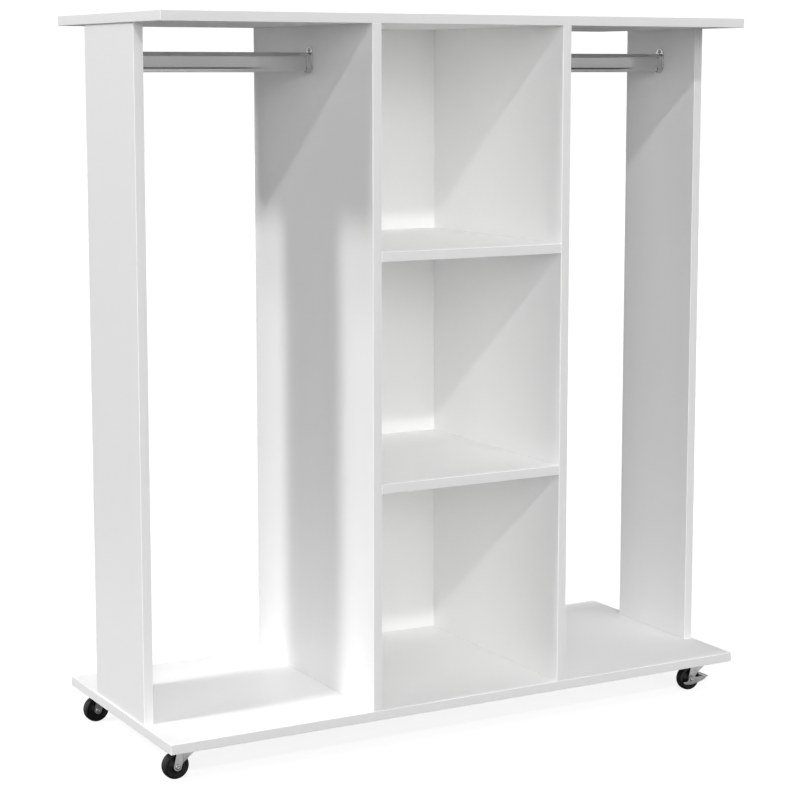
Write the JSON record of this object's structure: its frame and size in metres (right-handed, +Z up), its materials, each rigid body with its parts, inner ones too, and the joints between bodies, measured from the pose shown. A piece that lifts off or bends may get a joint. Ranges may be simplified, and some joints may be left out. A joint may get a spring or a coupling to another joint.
{
  "type": "rolling clothes rack",
  "caption": "Open white wardrobe rack on swivel casters, with a shelved centre bay between two hanging bays with oval rails.",
  "frame": {"origin": "on the floor under the middle of the rack", "axes": "+Z up, +X along the rack's length towards the braked casters, and the open front faces -Y"},
  "size_m": [1, 0.4, 1.1],
  "materials": {
    "laminate": "white melamine laminate, satin",
    "backing": "white lacquered fibreboard, matt",
    "chrome": "bright chrome plate",
    "zinc": "zinc-plated pressed steel, satin",
    "fixing_steel": "bright zinc-plated steel",
    "black_plastic": "moulded black plastic, satin"
  },
  "bodies": {
    "rack": {"top_board": "laminate", "bottom_board": "laminate", "left_side_board": "laminate", "right_side_board": "laminate", "left_divider": "laminate", "right_divider": "laminate", "upper_shelf": "laminate", "lower_shelf": "laminate", "back_panel": "backing", "top_screw_left_side_front": "fixing_steel", "top_screw_left_side_rear": "fixing_steel", "top_screw_left_divider_front": "fixing_steel", "top_screw_left_divider_rear": "fixing_steel", "top_screw_right_divider_front": "fixing_steel", "top_screw_right_divider_rear": "fixing_steel", "top_screw_right_side_front": "fixing_steel", "top_screw_right_side_rear": "fixing_steel", "base_screw_left_side_front": "fixing_steel", "base_screw_left_side_rear": "fixing_steel", "base_screw_left_divider_front": "fixing_steel", "base_screw_left_divider_rear": "fixing_steel", "base_screw_right_divider_front": "fixing_steel", "base_screw_right_divider_rear": "fixing_steel", "base_screw_right_side_front": "fixing_steel", "base_screw_right_side_rear": "fixing_steel", "left_hanging_rail": "chrome", "left_rail_inner_socket": "chrome", "left_rail_inner_lower_screw": "fixing_steel", "left_rail_inner_upper_screw": "fixing_steel", "left_rail_outer_socket": "chrome", "left_rail_outer_lower_screw": "fixing_steel", "left_rail_outer_upper_screw": "fixing_steel", "right_hanging_rail": "chrome", "right_rail_inner_socket": "chrome", "right_rail_inner_lower_screw": "fixing_steel", "right_rail_inner_upper_screw": "fixing_steel", "right_rail_outer_socket": "chrome", "right_rail_outer_lower_screw": "fixing_steel", "right_rail_outer_upper_screw": "fixing_steel", "front_left_caster_plate": "zinc", "front_right_caster_plate": "zinc", "rear_left_caster_plate": "zinc", "rear_right_caster_plate": "zinc"},
    "front_left_swivel": {"front_left_caster_fork": "zinc", "front_left_caster_axle": "fixing_steel"},
    "front_left_wheel": {"front_left_caster_wheel": "black_plastic"},
    "front_right_swivel": {"front_right_caster_fork": "zinc", "front_right_caster_axle": "fixing_steel"},
    "front_right_wheel": {"front_right_caster_wheel": "black_plastic"},
    "front_right_brake": {"front_right_brake_pedal": "zinc"},
    "rear_left_swivel": {"rear_left_caster_fork": "zinc", "rear_left_caster_axle": "fixing_steel"},
    "rear_left_wheel": {"rear_left_caster_wheel": "black_plastic"},
    "rear_right_swivel": {"rear_right_caster_fork": "zinc", "rear_right_caster_axle": "fixing_steel"},
    "rear_right_wheel": {"rear_right_caster_wheel": "black_plastic"},
    "rear_right_brake": {"rear_right_brake_pedal": "zinc"}
  },
  "joints": [
    {"name": "front_left_swivel", "type": "hinge", "parent": "rack", "child": "front_left_swivel", "pos_m": [-0.46, -0.1575, 0.05], "axis": [0, 0, 1], "continuous": true},
    {"name": "front_left_roll", "type": "hinge", "parent": "front_left_swivel", "child": "front_left_wheel", "pos_m": [-0.476, -0.1575, 0.02], "axis": [0, 1, 0], "continuous": true},
    {"name": "front_right_swivel", "type": "hinge", "parent": "rack", "child": "front_right_swivel", "pos_m": [0.46, -0.1575, 0.05], "axis": [0, 0, 1], "continuous": true},
    {"name": "front_right_roll", "type": "hinge", "parent": "front_right_swivel", "child": "front_right_wheel", "pos_m": [0.444, -0.1575, 0.02], "axis": [0, 1, 0], "continuous": true},
    {"name": "front_right_brake", "type": "hinge", "parent": "front_right_swivel", "child": "front_right_brake", "pos_m": [0.444, -0.1575, 0.02], "axis": [0, 1, 0], "range_deg": [0, 18]},
    {"name": "rear_left_swivel", "type": "hinge", "parent": "rack", "child": "rear_left_swivel", "pos_m": [-0.46, 0.1575, 0.05], "axis": [0, 0, 1], "continuous": true},
    {"name": "rear_left_roll", "type": "hinge", "parent": "rear_left_swivel", "child": "rear_left_wheel", "pos_m": [-0.476, 0.1575, 0.02], "axis": [0, 1, 0], "continuous": true},
    {"name": "rear_right_swivel", "type": "hinge", "parent": "rack", "child": "rear_right_swivel", "pos_m": [0.46, 0.1575, 0.05], "axis": [0, 0, 1], "continuous": true},
    {"name": "rear_right_roll", "type": "hinge", "parent": "rear_right_swivel", "child": "rear_right_wheel", "pos_m": [0.444, 0.1575, 0.02], "axis": [0, 1, 0], "continuous": true},
    {"name": "rear_right_brake", "type": "hinge", "parent": "rear_right_swivel", "child": "rear_right_brake", "pos_m": [0.444, 0.1575, 0.02], "axis": [0, 1, 0], "range_deg": [0, 18]}
  ]
}
